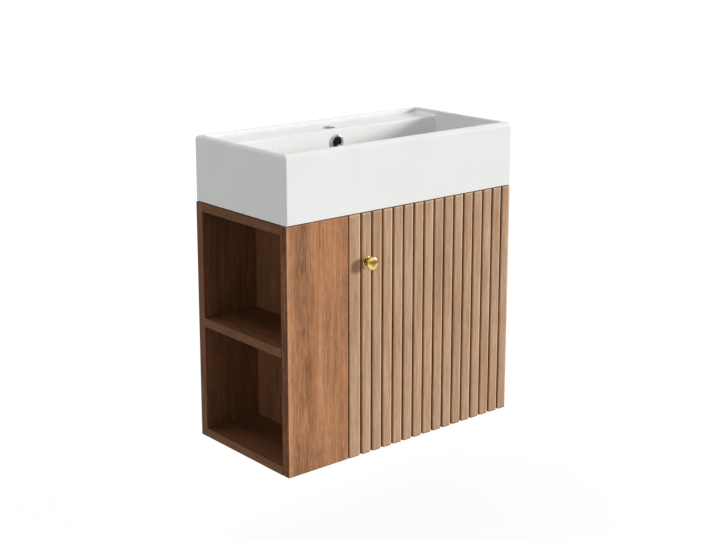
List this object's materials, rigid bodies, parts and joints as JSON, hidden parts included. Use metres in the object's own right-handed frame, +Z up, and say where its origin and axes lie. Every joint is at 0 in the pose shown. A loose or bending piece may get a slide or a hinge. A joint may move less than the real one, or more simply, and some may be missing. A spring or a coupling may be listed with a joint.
{
  "type": "wall-hung vanity unit",
  "caption": "Wall-hung vanity unit: a rectangular ceramic basin on a wooden cabinet with an open side niche and a fluted, side-hung door with a round knob.",
  "frame": {"origin": "on the wall plane, in the middle of the width, level with the cabinet's underside", "axes": "+X to the right seen from the front, +Y back into the wall, +Z up"},
  "size_m": [0.6, 0.321, 0.6365],
  "materials": {
    "glaze": "gloss white glaze",
    "chrome": "polished",
    "sealant": "matt sealant",
    "panel_wood": "satin brown wood grain, grain upright",
    "fluted_wood": "satin pale brown wood grain, grain upright",
    "dowel_wood": "plain beech",
    "screw_steel": "zinc plated",
    "hinge_steel": "nickel plated",
    "brass": "brushed brass",
    "catch_plastic": "moulded, matt",
    "magnet": "ground ferrite with steel poles",
    "buffer_rubber": "clear soft rubber"
  },
  "bodies": {
    "cabinet": {"back_panel": "panel_wood", "niche_front_panel": "panel_wood", "divider_panel": "panel_wood", "niche_bottom_panel": "panel_wood", "niche_shelf": "panel_wood", "niche_top_panel": "panel_wood", "right_side_panel": "panel_wood", "cabinet_bottom_panel": "panel_wood", "front_rail": "panel_wood", "assembly_dowels": "dowel_wood", "back_panel_screws": "screw_steel", "sealant_bead": "sealant", "basin": "glaze", "overflow_ring": "chrome", "hinge_arm_upper": "hinge_steel", "hinge_arm_lower": "hinge_steel", "hinge_plate_upper": "hinge_steel", "hinge_plate_lower": "hinge_steel", "hinge_plate_screws": "screw_steel", "hinge_arm_screws": "screw_steel", "magnet_catch": "catch_plastic", "catch_magnet": "magnet", "catch_screws": "screw_steel"},
    "door": {"door_panel": "fluted_wood", "door_knob": "brass", "knob_screw": "screw_steel", "hinge_cup_upper": "hinge_steel", "hinge_cup_lower": "hinge_steel", "hinge_pin_upper": "hinge_steel", "hinge_pin_lower": "hinge_steel", "hinge_cup_screws": "screw_steel", "catch_strike": "hinge_steel", "strike_screw": "screw_steel", "door_buffers": "buffer_rubber"}
  },
  "joints": [
    {"name": "door_hinge", "type": "hinge", "parent": "cabinet", "child": "door", "pos_m": [0.292, -0.2885, 0.25], "axis": [0, 0, 1], "range_deg": [0, 95]}
  ]
}
